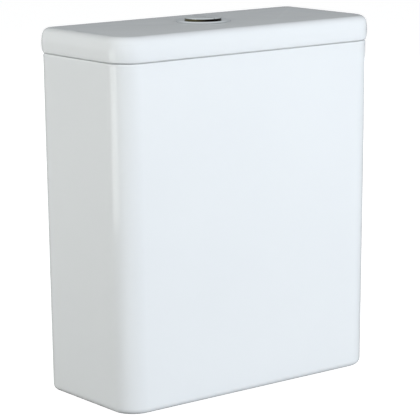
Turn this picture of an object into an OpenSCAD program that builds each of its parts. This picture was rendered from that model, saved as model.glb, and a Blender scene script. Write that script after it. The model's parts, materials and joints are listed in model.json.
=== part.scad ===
// Close-coupled toilet cistern with a dual-flush push button, in millimetres.
// The origin is on the outlet's axis at the plane of the base; +Z is up and the front faces -Y.

/* [Tank] */
// Width of the tank at its rim
tank_w = 356; // [346:1:400]
// Depth of the tank at its rim, front to back
tank_d = 157; // [150:1:180]
// Height of the tank, base to rim
tank_h = 381.5; // [370:0.5:430]
// How far the outlet's axis lies behind the middle of the tank's depth
outlet_offset = 0.5; // [0:0.25:3]
// How far the tank's middle lies to the right of the outlet's axis
tank_shift = 9; // [0:0.5:10]
// Thickness of the china walls
tank_wall = 10; // [8:0.5:12]
// Height of the inside floor above the base
tank_floor = 16; // [14:0.5:20]
// Inward lean of the sides and front, from rim to base
tank_taper = 3.4; // [0:0.2:6]
// Radius of the front upright edges
front_r = 28; // [16:1:36]
// Radius of the rear upright edges
rear_r = 16; // [11:0.5:20]
// Radius of the edge round the base
base_edge_r = 7; // [3:0.5:9]
// Radius of the edges of the rim
rim_edge_r = 2.5; // [1:0.25:3]
// Radius between the inside walls and the floor, as a share of the floor in front of the valve
fillet_share = 0.75; // [0.4:0.05:0.95]
// Depth of the recess under the base
recess_depth = 4; // [2:0.5:5]
// Width of the land round the recess
base_land = 16; // [12:0.5:18]

/* [Lid] */
// Height of the lid, rim to top
lid_h = 28; // [24:0.5:36]
// How far the lid stands out past the tank
lid_overhang = 2; // [0:0.25:4]
// Thickness of the lid's top
lid_wall = 9; // [7:0.5:11]
// Radius of the lid's top edge
lid_top_r = 9; // [5:0.5:12]
// Radius of the lid's lower edge
lid_low_r = 3; // [1:0.25:4]
// Swell of the lid's sides
lid_swell = 0.8; // [0:0.1:1.5]
// Depth of the lip that drops into the tank
lip_depth = 8; // [5:0.5:12]
// Thickness of the lip
lip_wall = 7; // [5:0.5:9]
// Gap between the lip and the tank's wall
lip_gap = 3; // [2:0.25:4]

/* [Push button] */
// Radius of the pair of buttons
button_r = 20.5; // [20:0.25:23]
// Height of the buttons above the bezel
button_proud = 3; // [2:0.25:4]
// Travel of a button
button_press = 4.5; // [3:0.25:5]
// Radius of a button's top edge
button_edge_r = 1.2; // [0.5:0.1:1.6]
// Thickness of a button's top
button_top = 2.4; // [1.8:0.1:3]
// Wall of a button's skirt
button_wall = 1.6; // [1.2:0.1:2]
// Height of a button
button_h = 14; // [12:0.5:18]
// Gap between the two buttons
split_gap = 0.6; // [0.4:0.1:1]
// Step of the foot that catches under the bezel
foot_step = 0.8; // [0.5:0.1:1.2]
// Height of the foot
foot_h = 2; // [1.5:0.1:3]
// Radius of the bezel
bezel_r = 30.5; // [29:0.25:34]
// Height of the bezel on the lid
bezel_h = 2.2; // [1.6:0.1:3]
// Wall of the bezel's barrel
barrel_wall = 2.2; // [1.8:0.1:3]
// Length of the barrel below the lid's top
barrel_l = 42; // [36:1:48]
// Thickness of the shelf that the springs stand on
shelf_t = 3; // [2:0.25:4]
// Thickness of the gasket under the lid
gasket_t = 2; // [1:0.25:3]
// Height of the nut under the lid
button_nut_h = 10; // [8:0.5:12]
// Width of the nut's ring
button_nut_ring = 6; // [5:0.5:8]
// Wire radius of the button springs
wire_r = 0.5; // [0.4:0.05:0.6]
// Radius of the springs at the middle of the wire
spring_r = 6.3; // [6:0.1:6.6]
// Turns of each spring
spring_turns = 9; // [6:1:11]

/* [Push rods] */
// Radius of a push rod
rod_r = 3.2; // [2.6:0.1:3.4]
// Sideways distance of each rod from the button's middle
rod_x = 9.5; // [9.5:0.25:10.5]
// Front to back distance of each rod from the button's middle
rod_y = 5.5; // [4.75:0.25:6]
// Wall of the socket that a rod screws into
socket_wall = 1.7; // [1.4:0.1:1.8]
// Depth of that socket
socket_depth = 10; // [8:0.5:11]

/* [Flush valve base] */
// Radius of the outlet's bore
outlet_r = 24; // [22:0.25:26]
// Radius of the throat under the seat
throat_r = 22.5; // [21:0.25:23.5]
// Radius of the threaded tail
tail_r = 29.8; // [29:0.1:31]
// Length of the tail below the base
tail_l = 46; // [44:1:60]
// Step down to the tail's plain end
tail_step = 0.5; // [0.3:0.1:1]
// Radius of the flange on the floor
base_flange_r = 46; // [45:0.5:50]
// Thickness of the flange
base_flange_t = 5; // [4:0.5:7]
// Thickness of the seal under the flange
floor_seal_t = 3; // [2:0.25:4]
// Height of the seat above the flange
seat_h = 10; // [8:0.5:14]
// Width of the seat's rim
seat_rim = 4; // [3:0.25:5]
// Height of the backnut
backnut_h = 12; // [10:0.5:16]
// Width across the backnut's flats
backnut_af = 82; // [78:0.5:86]
// Length of the pan seal
pan_seal_l = 34; // [30:1:40]
// Wall of the pan seal round the backnut
pan_seal_wall = 6; // [5:0.25:7]
// Taper of the pan seal, from top to end
pan_seal_taper = 10; // [6:0.5:14]

/* [Flush valve tower] */
// Radius of the basket
basket_r = 38; // [37:0.25:39]
// Wall of the basket and the column
tower_wall = 2.5; // [2:0.1:3]
// Height of the basket
basket_h = 107; // [95:1:120]
// Width of the basket's foot
basket_foot = 2.5; // [2:0.25:3]
// Height of the windows in the basket
window_h = 70; // [50:1:80]
// Width of a window
window_w = 34; // [24:1:38]
// Number of windows
windows = 4; // [3:1:4]
// Height of the column above the basket
column_h = 107; // [100:1:115]
// Radius of the flange at the column's top
column_flange_r = 25; // [24:0.25:25.5]
// Thickness of the tower's flanges, ribs and guides
tower_t = 4; // [3:0.25:5]
// Height of the ribs that brace the column
rib_h = 16; // [10:1:18]

/* [Overflow tube and floats] */
// Radius of the overflow tube
tube_r = 15; // [14:0.25:15.5]
// Wall of the overflow tube
tube_wall = 2.2; // [1.8:0.1:3]
// Height of the tube's mouth above the column
tube_above_column = 34; // [30:0.5:38]
// Thickness of the valve seal
seal_t = 3; // [2:0.25:4]
// How far the seal reaches past the seat
seal_over = 4.5; // [3:0.25:6]
// Length of the guide fins in the throat
fin_l = 18; // [12:1:19]
// Height of the full-flush float
full_float_h = 46; // [36:1:52]
// Height of that float above the tube's foot
full_float_rise = 26; // [20:1:30]
// Wall of the floats
float_wall = 1.8; // [1.4:0.1:2.2]
// Height of the half-flush float
half_float_h = 50; // [40:1:52]
// Width of the half-flush float
half_float_w = 34; // [28:1:36]
// Depth of the half-flush float, front to back
half_float_d = 38; // [30:1:42]
// Height of the half-flush float above the basket
half_float_rise = 19; // [18:0.5:22]

/* [Rockers] */
// Radius of the rocker pin
pin_r = 2.5; // [2:0.1:3]
// Height of the pin above the column
pivot_above_column = 62; // [60:0.5:70]
// Thickness of a rocker's arm
rocker_t = 7; // [5:0.25:7.5]
// Radius of a rocker's hub
hub_r = 5.5; // [5:0.1:6]
// Height of a rocker's pad above the pin
pad_h = 3; // [2.5:0.1:3.2]
// Distance from the pin to a lifting finger
finger_l = 22; // [21:0.25:22.5]
// Radius of a finger's nose
nose_r = 3; // [2.5:0.1:3.2]
// Lead of a rocker's turn over the rod that presses it
rocker_lead = 1.1; // [1.05:0.01:1.12]
// Thickness of the bridge's side plates
bridge_t = 3; // [2.5:0.1:4]
// Inside distance between the side plates
bridge_w = 44; // [43:0.5:48]
// Thickness of the lifting posts
post_t = 4; // [3:0.25:5]

/* [Fill valve] */
// Distance from the tank's inside wall at the floor to the inlet's axis
inlet_inset = 55; // [44:0.5:56]
// Radius of the threaded inlet tail
inlet_r = 10.48; // [10:0.02:11]
// Radius of the water way in the tail
inlet_bore_r = 6.5; // [5.5:0.1:7]
// Length of the inlet tail below the base
inlet_l = 44; // [36:1:60]
// Width and depth of the groove under the inlet backnut
inlet_groove = 1; // [0.5:0.1:1.5]
// Radius of the inlet flange
inlet_flange_r = 20; // [18:0.25:22]
// Radius of the riser
riser_r = 11; // [10.8:0.1:11.5]
// Wall of the riser
riser_wall = 2.5; // [2:0.1:3]
// Height of the riser above the floor
riser_h = 246; // [230:1:255]
// Width across the inlet backnut's flats
inlet_nut_af = 34; // [30:0.5:36]
// Height of the inlet backnut
inlet_nut_h = 9; // [7:0.5:12]
// Radius of the valve head
head_r = 16; // [15.5:0.1:17]
// Height of the valve head
head_h = 34; // [30:0.5:38]
// Radius of the cap
cap_r = 18; // [17.5:0.1:19]
// Height of the cap
cap_h = 12; // [10:0.5:14]
// Number of grip grooves round the cap
cap_grips = 20; // [12:1:28]
// Thickness of the diaphragm
diaphragm_t = 2; // [1.5:0.1:2.5]
// Distance from the riser to the silencer tube
silencer_x = 30; // [29.5:0.25:32]
// Radius of the silencer tube
silencer_r = 8; // [7:0.1:8.2]
// Height of the silencer tube's mouth above the floor
silencer_rise = 18; // [10:1:40]
// Distance from the riser to the lever's pin
lever_pin_x = 10; // [9:0.25:11]
// Height of the lever's pin above the cap
lever_pin_h = 8; // [7.5:0.1:9]
// Radius of the lever's pin
lever_pin_r = 2; // [1.6:0.1:2.2]
// Distance from the lever's pin to the float's link
lever_l = 30; // [29:0.25:31]
// Width of the lever
lever_w = 15; // [12:0.5:16]
// Thickness of the lever
lever_t = 4; // [3:0.25:5]
// Radius of the pilot nozzle that the lever closes
nozzle_r = 2; // [1.5:0.1:2.5]
// Turn of the lever over the float's travel, in degrees
lever_turn = 20; // [12:1:22]
// Radius of the float's link
link_r = 2; // [1.6:0.1:2.2]
// Rounding radius of the fill float in plan
fill_float_r = 20; // [18:0.25:20.5]
// Height of the fill float
fill_float_h = 50; // [40:1:52]
// Depth of the float's stop below the valve head
float_drop = 72; // [70:1:96]

/* [Coupling kit and wall fixings] */
// Place of a coupling bolt in the free floor between the valve and the inlet, as a share of it
bolt_share = 0.6; // [0.4:0.05:0.75]
// Radius of a coupling bolt
bolt_r = 4; // [3.5:0.1:5]
// Radius of its free thread, at mean depth
stud_r = 3.8; // [3:0.1:4]
// Length of a bolt below the base
bolt_l = 60; // [50:1:80]
// Radius of the seal under a bolt's head
bolt_seal_r = 13; // [11:0.25:15]
// Height of that seal
bolt_seal_h = 4; // [3:0.25:6]
// Radius of a bolt's washers
washer_r = 11; // [9.5:0.25:12]
// Thickness of a washer
washer_t = 1.6; // [1:0.1:2]
// Width across the flats of a bolt's head and nut
bolt_af = 13; // [11:0.5:16]
// Height of a bolt's head
bolt_head_h = 5.5; // [4:0.25:7]
// Height of a lock nut
locknut_h = 6.5; // [5:0.25:8]
// Distance between the wall fixing holes
fixing_spacing = 200; // [160:2:240]
// Depth of the wall fixing holes below the rim
fixing_drop = 36; // [25:1:60]
// Radius of a wall fixing hole
fixing_r = 4.5; // [3:0.25:6]

/* [Clearances] */
// Gap between threads, and between pieces slipped together
thread_gap = 0.1; // [0.05:0.01:0.2]
// Radial gap of a pin in a turning hub
running_gap = 0.05; // [0.02:0.01:0.1]
// Gap round sliding pieces
slide_gap = 0.5; // [0.3:0.05:0.6]
// Gap between pieces that press on each other in use
press_gap = 0.3; // [0.2:0.05:0.4]
// Gap between a rocker's finger and what it lifts
lift_gap = 0.6; // [0.4:0.05:0.8]
// Gap round bolts and tails in the china
china_gap = 1.5; // [1:0.1:2.5]

/* [Hidden] */
$fn = 64;

// Overlap that joins two shapes of one solid, and reach of a cut past a face
weld = 0.4;
cut = 1;
// Steps of the arcs in the china's outline and edges
corner_steps = 10;
edge_steps = 5;
// Step of the arcs on the button's edges, in degrees
arc_step = 15;
// Least corner radius that an inset outline keeps
least_corner_r = 2;

// Places of the tank's faces
back_y = tank_d / 2 - outlet_offset;
front_y = back_y - tank_d;
lid_top = tank_h + lid_h;
inside_half_w = tank_w / 2 - tank_taper - tank_wall;
floor_fillet_r = fillet_share * (-front_y - tank_taper - tank_wall - base_flange_r);

// Heights up the flush valve
base_flange_z = tank_floor + floor_seal_t;
base_top = base_flange_z + base_flange_t;
seat_z = base_top + seat_h;
basket_top = base_top + basket_h;
column_top = basket_top + column_h;
bridge_z = column_top + tower_t;
pivot_z = column_top + pivot_above_column;
lug_z = pivot_z + nose_r + lift_gap;
tube_top = column_top + tube_above_column;

// Motion of the rockers, and what they lift
rocker_turn = rocker_lead * asin(button_press / rod_x);
finger_rise = finger_l * sin(rocker_turn);
guide_z = lug_z + post_t + finger_rise + lift_gap + pad_h;

// Radii that follow from a fit
barrel_in_r = button_r + slide_gap;
catch_r = button_r + foot_step + slide_gap;
barrel_r = catch_r + barrel_wall;
socket_r = rod_r + socket_wall;
column_in_r = tube_r + china_gap;
column_r = column_in_r + tower_wall;
seat_r = throat_r + seat_rim;
backnut_corner_r = backnut_af / 2 / cos(30);
post_x = finger_l + nose_r + china_gap;
plate_y = bridge_w / 2;

// Heights up the push button
button_z = lid_top + bezel_h + button_proud;
button_foot_z = button_z - button_h;
shelf_z = lid_top - barrel_l;
spring_z = shelf_z + shelf_t;
spring_top = button_z - button_top;
gasket_z = lid_top - lid_wall - gasket_t;

// Places and heights of the fill valve
inlet_x = tank_shift + inside_half_w - inlet_inset;
inlet_flange_z = tank_floor + floor_seal_t;
head_z = tank_floor + riser_h;
cap_z = head_z + head_h;
head_socket_h = head_h / 3;
lever_pin_z = cap_z + cap_h + lever_pin_h;
link_x = -lever_pin_x - lever_l;
float_stop_z = head_z - float_drop;
float_z = float_stop_z + press_gap;
link_seat_z = lever_pin_z - lever_l * sin(lever_turn / 2);
nozzle_drop = (lever_pin_x + nozzle_r) * tan(lever_turn / 2) + lever_t / 2 / cos(lever_turn / 2);
nozzle_top = lever_pin_z - nozzle_drop - press_gap;

// Place and heights of the coupling bolts
bolt_room = inlet_x - inlet_flange_r - base_flange_r - 2 * bolt_seal_r;
bolt_x = base_flange_r + bolt_seal_r + bolt_share * bolt_room;
bolt_head_z = tank_floor + bolt_seal_h + washer_t;
locknut_z = recess_depth - washer_t - locknut_h;

// Points of one corner: a quarter circle from angle a
function quarter(x, y, r, a) =
  [for (i = [0:corner_steps])
    let (b = a + 90 * i / corner_steps)
    [x + r * cos(b), y + r * sin(b)]];

// Outline of the tank at height z, drawn in by "side" at the sides and front and by "back" at the back
function outline(z, side, back) =
  let (
    lean = tank_taper * max(0, 1 - z / tank_h),
    x = tank_w / 2 - lean - side,
    y0 = front_y + lean + side,
    y1 = back_y - back,
    rf = max(front_r - side, least_corner_r),
    rb = max(rear_r - back, least_corner_r)
  )
  [for (p = concat(
    quarter(x - rf, y0 + rf, rf, -90),
    quarter(x - rb, y1 - rb, rb, 0),
    quarter(rb - x, y1 - rb, rb, 90),
    quarter(rf - x, y0 + rf, rf, 180)
  )) [p[0] + tank_shift, p[1], z]];

// Skin through a stack of outlines, closed by its first and last one
module skin(rings) {
  n = len(rings[0]);
  last = len(rings) - 1;
  polyhedron(
    points = [for (ring = rings) each ring],
    faces = concat(
      [[for (j = [0:n - 1]) j]],
      [for (i = [0:last - 1], j = [0:n - 1])
        [i * n + j, (i + 1) * n + j, (i + 1) * n + (j + 1) % n, i * n + (j + 1) % n]],
      [[for (j = [n - 1:-1:0]) last * n + j]]
    )
  );
}

// Steps of a quarter turn, for rounded edges
function edge_angles() = [for (i = [0:edge_steps]) 90 * i / edge_steps];

// Rings and sides of the tube that stands for a spring's wire
spring_rings = 8 * spring_turns;
spring_sides = 6;

// Point of a spring's helix at part t of its length, round an upright axis through x and y
function helix_point(t, x, y) =
  let (a = 360 * t * spring_turns, end_gap = wire_r + press_gap)
  [x + spring_r * cos(a), y + spring_r * sin(a),
   spring_z + end_gap + t * (spring_top - spring_z - 2 * end_gap)];

// Button spring: one tube of wire wound on that helix
module spring(x, y) {
  rings = [for (k = [0:spring_rings])
    let (t = k / spring_rings, p = helix_point(t, x, y), a = 360 * t * spring_turns)
    [for (s = [0:spring_sides - 1])
      let (b = 360 * s / spring_sides)
      p + wire_r * [cos(b) * cos(a), cos(b) * sin(a), sin(b)]]];
  n = spring_sides;
  polyhedron(
    points = [for (ring = rings) each ring],
    faces = concat(
      [[for (s = [n - 1:-1:0]) s]],
      [for (k = [0:spring_rings - 1], s = [0:n - 1]) each [
        [k * n + s, k * n + (s + 1) % n, (k + 1) * n + (s + 1) % n],
        [k * n + s, (k + 1) * n + (s + 1) % n, (k + 1) * n + s]
      ]],
      [[for (s = [0:n - 1]) spring_rings * n + s]]
    )
  );
}

// Least gap between one turn of a spring and the next, measured on points of its middle line
spring_points = [for (k = [0:spring_rings]) helix_point(k / spring_rings, 0, 0)];
spring_gap = min([for (i = [0:spring_rings], j = [0:spring_rings])
  if (j - i >= 4) norm(spring_points[i] - spring_points[j])]) - 2 * wire_r;
echo(spring_gap = spring_gap);

// Ring of radii r_in and r_out, from height z upwards
module ring(r_out, r_in, h, z) {
  translate([0, 0, z])
    difference() {
      cylinder(r = r_out, h = h);
      translate([0, 0, -cut]) cylinder(r = r_in, h = h + 2 * cut);
    }
}

// Hexagon prism of a width across flats
module hexagon(af, h) {
  cylinder(r = af / 2 / cos(30), h = h, $fn = 6);
}

// Places its children at both coupling bolts
module at_bolts() {
  for (side = [-1, 1]) translate([side * bolt_x, 0, 0]) children();
}

// Places its children on the inlet's axis
module at_inlet() {
  translate([inlet_x, 0, 0]) children();
}

// Box from one corner to the opposite one
module box(low, high) {
  translate(low) cube(high - low);
}

// China tank: one skin from the recess under the base, up the outside and over the rim to the inside floor
module tank() {
  rings = concat(
    [outline(recess_depth, base_land, base_land)],
    [outline(0, base_land - recess_depth / 2, base_land - recess_depth / 2)],
    [for (a = edge_angles()) let (e = base_edge_r * (1 - sin(a)))
      outline(base_edge_r * (1 - cos(a)), e, e)],
    [for (a = edge_angles()) let (e = rim_edge_r * (1 - cos(a)))
      outline(tank_h - rim_edge_r * (1 - sin(a)), e, e)],
    [for (a = edge_angles()) let (e = tank_wall - rim_edge_r * (1 - sin(a)))
      outline(tank_h - rim_edge_r * (1 - cos(a)), e, e)],
    [for (a = edge_angles()) let (e = tank_wall + floor_fillet_r * (1 - cos(a)))
      outline(tank_floor + floor_fillet_r * (1 - sin(a)), e, e)]
  );
  color("white")
    difference() {
      skin(rings);
      translate([0, 0, -cut]) cylinder(r = tail_r + china_gap, h = tank_floor + 2 * cut);
      at_bolts() translate([0, 0, -cut]) cylinder(r = bolt_r + china_gap, h = tank_floor + 2 * cut);
      at_inlet() translate([0, 0, -cut]) cylinder(r = inlet_r + china_gap, h = tank_floor + 2 * cut);
      for (side = [-1, 1])
        translate([tank_shift + side * fixing_spacing / 2, back_y + cut, tank_h - fixing_drop])
          rotate([90, 0, 0]) cylinder(r = fixing_r, h = tank_wall + 2 * cut);
    }
}

// China lid: one skin from the hollow below, round the lip and the outside to the top
module lid() {
  lip_out = tank_wall + lip_gap;
  lip_in = lip_out + lip_wall;
  ceiling = lid_top - lid_wall;
  side_z = tank_h + lid_low_r;
  side_h = lid_h - lid_low_r - lid_top_r;
  hollow_r = lip_wall;
  rings = concat(
    [for (a = edge_angles()) let (e = lip_in + hollow_r * (1 - sin(a)))
      outline(ceiling - hollow_r * (1 - cos(a)), e, e)],
    [outline(tank_h - lip_depth, lip_in, lip_in)],
    [outline(tank_h - lip_depth, lip_out + lip_wall / 4, lip_out + lip_wall / 4)],
    [outline(tank_h - lip_depth * 3 / 4, lip_out, lip_out)],
    [outline(tank_h, lip_out, lip_out)],
    [for (a = edge_angles()) let (e = lid_swell + lid_low_r * (1 - sin(a)))
      outline(tank_h + lid_low_r * (1 - cos(a)), e - lid_overhang, e)],
    [for (i = [1:edge_steps - 1]) let (u = i / edge_steps, e = lid_swell * pow(2 * u - 1, 2))
      outline(side_z + side_h * u, e - lid_overhang, e)],
    [for (i = [0:2 * edge_steps]) let (a = 45 * i / edge_steps, e = lid_swell + lid_top_r * (1 - cos(a)))
      outline(lid_top - lid_top_r * (1 - sin(a)), e - lid_overhang, e)]
  );
  color("white")
    difference() {
      skin(rings);
      translate([0, 0, tank_h]) cylinder(r = barrel_r + china_gap, h = lid_h + cut);
    }
}

// Chrome bezel: rounded flange on the lid, and a barrel with the shelf for the springs
module button_bezel() {
  color("gainsboro")
    difference() {
      union() {
        rotate_extrude()
          polygon(concat(
            [[barrel_in_r, lid_top + bezel_h - button_edge_r / 2]],
            [[barrel_in_r + button_edge_r / 2, lid_top + bezel_h]],
            [for (a = [90:-arc_step:0])
              [bezel_r - bezel_h + bezel_h * cos(a), lid_top + bezel_h * sin(a)]],
            [[barrel_r, lid_top]],
            [[barrel_r, shelf_z]],
            [[catch_r - weld, shelf_z]],
            [[catch_r - weld, spring_z]],
            [[catch_r, spring_z]],
            [[catch_r, button_foot_z + foot_h + press_gap]],
            [[barrel_in_r, button_foot_z + foot_h + press_gap]]
          ));
        translate([0, 0, shelf_z]) cylinder(r = catch_r, h = shelf_t);
      }
      for (side = [-1, 1])
        translate([side * rod_x, -side * rod_y, shelf_z - cut])
          cylinder(r = rod_r + slide_gap, h = shelf_t + 2 * cut);
    }
}

module button_gasket() {
  color("dimgray") ring(barrel_r + button_nut_ring + china_gap, barrel_r + thread_gap, gasket_t, gasket_z);
}

// Nut under the lid, with six finger lugs
module button_nut() {
  nut_r = barrel_r + button_nut_ring;
  lug = button_nut_ring / 2;
  color("whitesmoke")
    difference() {
      union() {
        translate([0, 0, gasket_z - button_nut_h]) cylinder(r = nut_r, h = button_nut_h);
        for (k = [0:5])
          rotate(60 * k)
            box([nut_r - weld, -lug, gasket_z - button_nut_h], [nut_r + lug, lug, gasket_z - gasket_t]);
      }
      translate([0, 0, gasket_z - button_nut_h - cut])
        cylinder(r = barrel_r + thread_gap, h = button_nut_h + 2 * cut);
    }
}

// One half of the push button: rounded top, skirt, catching foot and rod socket
module half_disc_button() {
  flat_x = split_gap / 2;
  foot_r = button_r + foot_step;
  hollow_h = button_h - button_top;
  difference() {
    union() {
      difference() {
        rotate_extrude()
          polygon(concat(
            [[0, button_z]],
            [for (a = [90:-arc_step:0])
              [button_r - button_edge_r * (1 - cos(a)), button_z - button_edge_r * (1 - sin(a))]],
            [[button_r, button_foot_z + foot_h], [foot_r, button_foot_z + foot_h]],
            [[foot_r, button_foot_z], [0, button_foot_z]]
          ));
        intersection() {
          translate([0, 0, button_foot_z - cut]) cylinder(r = button_r - button_wall, h = hollow_h + cut);
          box([flat_x + button_wall, -foot_r, button_foot_z - cut], [foot_r, foot_r, spring_top]);
        }
      }
      translate([rod_x, -rod_y, spring_top - socket_depth - weld])
        cylinder(r = socket_r, h = socket_depth + 2 * weld);
    }
    box([-foot_r - cut, -foot_r - cut, button_foot_z - cut], [flat_x, foot_r + cut, button_z + cut]);
    translate([rod_x, -rod_y, spring_top - socket_depth - cut])
      cylinder(r = rod_r + thread_gap, h = socket_depth + cut);
  }
}

module full_flush_button() {
  color("gainsboro") half_disc_button();
}

module half_flush_button() {
  color("gainsboro") rotate(180) half_disc_button();
}

module full_button_spring() {
  color("silver") spring(rod_x, -rod_y);
}

module half_button_spring() {
  color("silver") spring(-rod_x, rod_y);
}

// Push rod with a round tip over the rocker's pad
module push_rod() {
  tip_z = pivot_z + pad_h + press_gap + rod_r;
  translate([rod_x, -rod_y, tip_z]) {
    sphere(r = rod_r);
    cylinder(r = rod_r, h = spring_top - thread_gap - tip_z);
  }
}

module full_flush_rod() {
  color("whitesmoke") push_rod();
}

module half_flush_rod() {
  color("royalblue") rotate(180) push_rod();
}

// Outlet body: threaded tail, flange, throat, raised seat and the hooks that hold the tower
module valve_base() {
  step_z = tank_floor / 2;
  plain_z = recess_depth - pan_seal_l - tail_step;
  hook_in = basket_r + basket_foot;
  hook_out = hook_in + tower_wall;
  hook_angle = 20;
  color("whitesmoke") {
    rotate_extrude()
      polygon([
        [outlet_r, -tail_l], [tail_r - tail_step, -tail_l], [tail_r - tail_step, plain_z],
        [tail_r, plain_z], [tail_r, base_flange_z], [base_flange_r, base_flange_z],
        [base_flange_r, base_top], [seat_r, base_top], [seat_r, seat_z], [throat_r, seat_z],
        [throat_r, step_z + outlet_r - throat_r], [outlet_r, step_z]
      ]);
    for (k = [0:windows - 1])
      rotate(360 * (k + 0.5) / windows - hook_angle / 2)
        translate([0, 0, base_top - weld])
          rotate_extrude(angle = hook_angle)
            polygon([
              [hook_in + thread_gap, 0], [hook_out, 0], [hook_out, weld + 2 * tower_t],
              [hook_in - basket_foot / 2, weld + 2 * tower_t],
              [hook_in - basket_foot / 2, weld + tower_t + thread_gap],
              [hook_in + thread_gap, weld + tower_t + thread_gap]
            ]);
  }
}

module floor_seal() {
  color("dimgray") ring(base_flange_r - weld, tail_r + thread_gap, floor_seal_t, tank_floor);
}

// Hexagon backnut that draws the valve down on the floor
module outlet_backnut() {
  color("whitesmoke")
    translate([0, 0, recess_depth - backnut_h])
      difference() {
        hexagon(backnut_af, backnut_h);
        translate([0, 0, -cut]) cylinder(r = tail_r + thread_gap, h = backnut_h + 2 * cut);
      }
}

// Soft ring over the backnut, tapered to seal in the pan
module pan_seal() {
  pocket_r = backnut_corner_r + thread_gap;
  top_r = pocket_r + pan_seal_wall;
  pocket_z = recess_depth - backnut_h - thread_gap;
  end_z = recess_depth - pan_seal_l;
  color("dimgray")
    rotate_extrude()
      polygon([
        [pocket_r, recess_depth], [top_r, recess_depth], [top_r, pocket_z], [top_r - pan_seal_taper, end_z],
        [tail_r + thread_gap, end_z], [tail_r + thread_gap, pocket_z], [pocket_r, pocket_z]
      ]);
}

// Guide for the half-flush pull, on the column at height z
module pull_guide(z) {
  half_w = rocker_t / 2 + tower_t;
  difference() {
    box([column_in_r + weld, rod_y - half_w, z],
        [post_x + post_t + slide_gap + tower_wall, rod_y + half_w, z + 2 * tower_t]);
    pull_bar(z - cut, z + 2 * tower_t + cut, slide_gap);
    translate([0, 0, z - cut]) cylinder(r = column_in_r + weld, h = 2 * tower_t + 2 * cut);
  }
}

// Bar of the half-flush pull between two heights, grown by a gap
module pull_bar(low, high, gap) {
  half_w = rocker_t / 2 + gap;
  box([post_x - gap, rod_y - half_w, low], [post_x + post_t + gap, rod_y + half_w, high]);
}

// Tower: basket with windows over the seat, and the column that guides the overflow tube
module valve_tower() {
  basket_in_r = basket_r - tower_wall;
  color("whitesmoke")
    difference() {
      union() {
        translate([0, 0, base_top]) cylinder(r = basket_r + basket_foot, h = tower_t);
        translate([0, 0, base_top]) cylinder(r = basket_r, h = basket_h);
        translate([0, 0, basket_top - weld]) cylinder(r = column_r, h = column_h + weld);
        translate([0, 0, column_top - tower_t]) cylinder(r = column_flange_r, h = tower_t);
        for (k = [0:3])
          rotate(45 + 90 * k)
            translate([0, tower_wall / 2, basket_top - weld])
              rotate([90, 0, 0])
                linear_extrude(tower_wall)
                  polygon([
                    [column_in_r + weld, 0], [basket_in_r, 0], [column_r, rib_h],
                    [column_in_r + weld, rib_h]
                  ]);
        pull_guide(basket_top + tower_wall);
        pull_guide(column_top - 5 * tower_t);
      }
      translate([0, 0, base_top - cut]) cylinder(r = basket_in_r, h = basket_h - tower_wall + cut);
      translate([0, 0, basket_top - tower_wall - cut])
        cylinder(r = column_in_r, h = column_h + tower_wall + 2 * cut);
      for (k = [0:windows - 1])
        rotate(360 * k / windows)
          box([seat_r, -window_w / 2, base_top + 2 * tower_t],
              [basket_r + cut, window_w / 2, base_top + 2 * tower_t + window_h]);
    }
}

// Bridge over the column: ring, two side plates for the pin, and the guide for the push rods
module actuator_bridge() {
  foot_x = hub_r + tower_t;
  guide_x = rod_x + rod_r + slide_gap + tower_t;
  color("lightsteelblue")
    difference() {
      union() {
        ring(column_flange_r, column_in_r, tower_t, column_top);
        for (side = [0, 1])
          translate([0, side == 0 ? -plate_y : plate_y + bridge_t, 0])
            rotate([90, 0, 0])
              linear_extrude(bridge_t)
                polygon([
                  [-foot_x, bridge_z - tower_t], [foot_x, bridge_z - tower_t], [foot_x, pivot_z],
                  [guide_x, guide_z], [guide_x, guide_z + tower_t], [-guide_x, guide_z + tower_t],
                  [-guide_x, guide_z], [-foot_x, pivot_z]
                ]);
        box([-guide_x, -plate_y - weld, guide_z], [guide_x, plate_y + weld, guide_z + tower_t]);
      }
      translate([0, plate_y + bridge_t + cut, pivot_z])
        rotate([90, 0, 0]) cylinder(r = pin_r + running_gap, h = bridge_w + 2 * bridge_t + 2 * cut);
      for (side = [-1, 1])
        translate([side * rod_x, -side * rod_y, guide_z - cut])
          cylinder(r = rod_r + slide_gap, h = tower_t + 2 * cut);
    }
}

module rocker_pin() {
  head = pin_r + tower_wall / 2;
  y = plate_y + bridge_t;
  color("silver")
    translate([0, y + bridge_t, pivot_z])
      rotate([90, 0, 0]) {
        cylinder(r = pin_r, h = 2 * y + 2 * bridge_t);
        cylinder(r = head, h = bridge_t - thread_gap);
      }
}

// Rocker in the plane of a push rod: pad under the rod, hub on the pin, finger under the lug
module rocker() {
  pad_x = rod_x + rod_r + press_gap;
  root = hub_r * 0.65;
  tip = nose_r * 0.7;
  hub_y = plate_y - press_gap;
  difference() {
    union() {
      translate([0, -rod_y + rocker_t / 2, pivot_z])
        rotate([90, 0, 0])
          linear_extrude(rocker_t)
            union() {
              circle(r = hub_r);
              polygon([[0, -root], [pad_x, -pad_h / 2], [pad_x, pad_h], [0, pad_h]]);
              polygon([[0, root], [-finger_l, tip], [-finger_l, -tip], [0, -root]]);
              translate([-finger_l, 0]) circle(r = nose_r);
            }
      translate([0, -press_gap / 2, pivot_z])
        rotate([90, 0, 0]) cylinder(r = hub_r - tower_wall / 4, h = hub_y - press_gap / 2);
    }
    translate([0, cut, pivot_z])
      rotate([90, 0, 0]) cylinder(r = pin_r + running_gap, h = plate_y + 2 * cut);
  }
}

module full_flush_rocker() {
  color("tomato") rocker();
}

module half_flush_rocker() {
  color("royalblue") rotate(180) rocker();
}

// Overflow tube, with the foot that carries the seal
module overflow_tube() {
  foot_z = seat_z + seal_t;
  color("whitesmoke")
    difference() {
      union() {
        translate([0, 0, seat_z - seal_t]) cylinder(r = tube_r, h = tube_top - seat_z + seal_t);
        translate([0, 0, foot_z]) cylinder(r = seat_r + seal_over / 2, h = seal_t);
      }
      translate([0, 0, seat_z - seal_t - cut]) cylinder(r = tube_r - tube_wall, h = tube_top);
    }
}

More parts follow.
